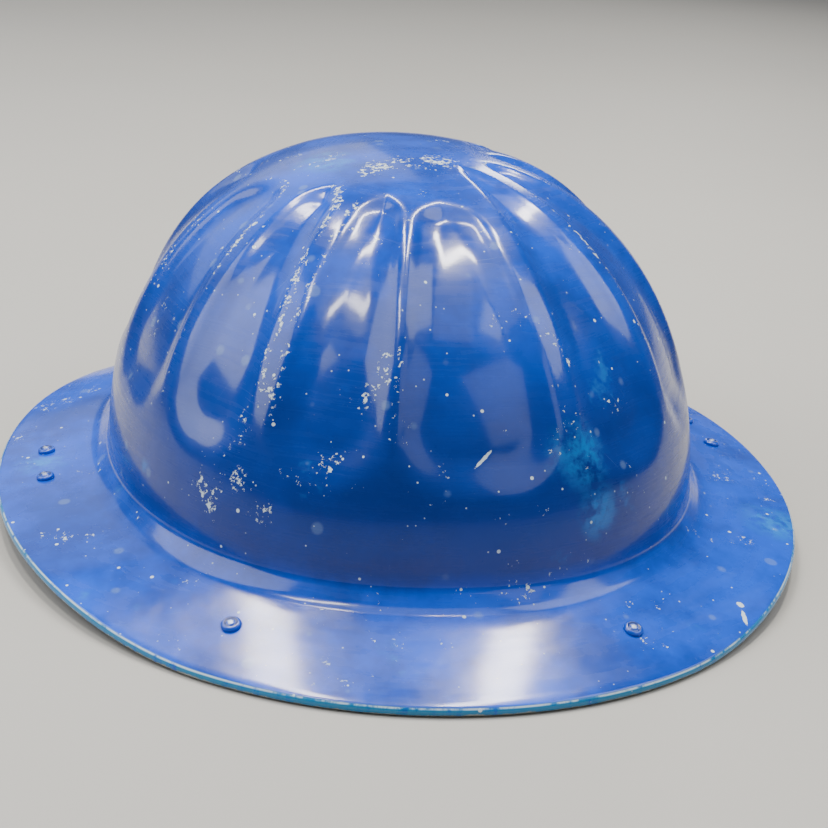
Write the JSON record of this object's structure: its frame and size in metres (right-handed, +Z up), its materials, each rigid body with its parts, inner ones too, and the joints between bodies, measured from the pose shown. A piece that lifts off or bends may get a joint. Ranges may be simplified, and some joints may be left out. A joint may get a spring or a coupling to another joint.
{
  "type": "hard hat",
  "caption": "Full-brim ribbed aluminium safety hat with painted shell, brim rivets, leather headband, webbing crown straps, sliding nape strap and swinging chin-strap loops.",
  "frame": {"origin": "on the surface that the brim stands on, under the middle of the brim", "axes": "+Z up through the top of the dome, -Y towards the front of the hat, +X to the right when looking at its front"},
  "size_m": [0.2799, 0.3299, 0.1234],
  "materials": {
    "blue_paint": "worn gloss deep blue paint on aluminium",
    "rivet_metal": "gloss blue paint worn to bare metal on the heads",
    "plated_steel": "dull zinc plate",
    "band_leather": "brown strap leather",
    "sweat_leather": "tan soft leather, stitched",
    "webbing": "natural cotton webbing",
    "key_plastic": "black moulded plastic"
  },
  "bodies": {
    "hat": {"shell": "blue_paint", "rivet_front_left": "rivet_metal", "rivet_front_right": "rivet_metal", "rivet_rear_left": "rivet_metal", "rivet_rear_right": "rivet_metal", "rivet_side_fore_left": "rivet_metal", "rivet_side_fore_right": "rivet_metal", "rivet_side_aft_left": "rivet_metal", "rivet_side_aft_right": "rivet_metal", "hanger_strip_front_left": "plated_steel", "hanger_strip_front_right": "plated_steel", "hanger_strip_rear_left": "plated_steel", "hanger_strip_rear_right": "plated_steel", "side_bracket_left": "plated_steel", "side_bracket_right": "plated_steel", "hanger_stud_front_left": "plated_steel", "hanger_stud_front_right": "plated_steel", "hanger_stud_rear_left": "plated_steel", "hanger_stud_rear_right": "plated_steel", "hanger_stud_side_left": "plated_steel", "hanger_stud_side_right": "plated_steel", "strap_key_front_left": "key_plastic", "strap_key_front_right": "key_plastic", "strap_key_rear_left": "key_plastic", "strap_key_rear_right": "key_plastic", "strap_key_side_left": "key_plastic", "strap_key_side_right": "key_plastic", "headband": "band_leather", "sweatband": "sweat_leather", "crown_strap_side": "webbing", "crown_strap_diagonal_a": "webbing", "crown_strap_diagonal_b": "webbing", "crown_patch": "sweat_leather", "nape_buckle_left": "plated_steel", "nape_buckle_right": "plated_steel"},
    "nape_strap": {"nape_strap": "band_leather"},
    "chin_loop_left": {"chin_loop_left": "plated_steel"},
    "chin_loop_right": {"chin_loop_right": "plated_steel"}
  },
  "joints": [
    {"name": "nape_strap_slide", "type": "hinge", "parent": "hat", "child": "nape_strap", "pos_m": [0, 0.0275, 0.01475], "axis": [0, 0, 1], "range_deg": [-8, 8]},
    {"name": "chin_loop_left_swing", "type": "hinge", "parent": "hat", "child": "chin_loop_left", "pos_m": [-0.09579, -0.01071, 0.01496], "axis": [0, 1, 0], "range_deg": [-80, 55]},
    {"name": "chin_loop_right_swing", "type": "hinge", "parent": "hat", "child": "chin_loop_right", "pos_m": [0.09595, 0.02411, 0.01541], "axis": [0, 1, 0], "range_deg": [-45, 80]}
  ]
}
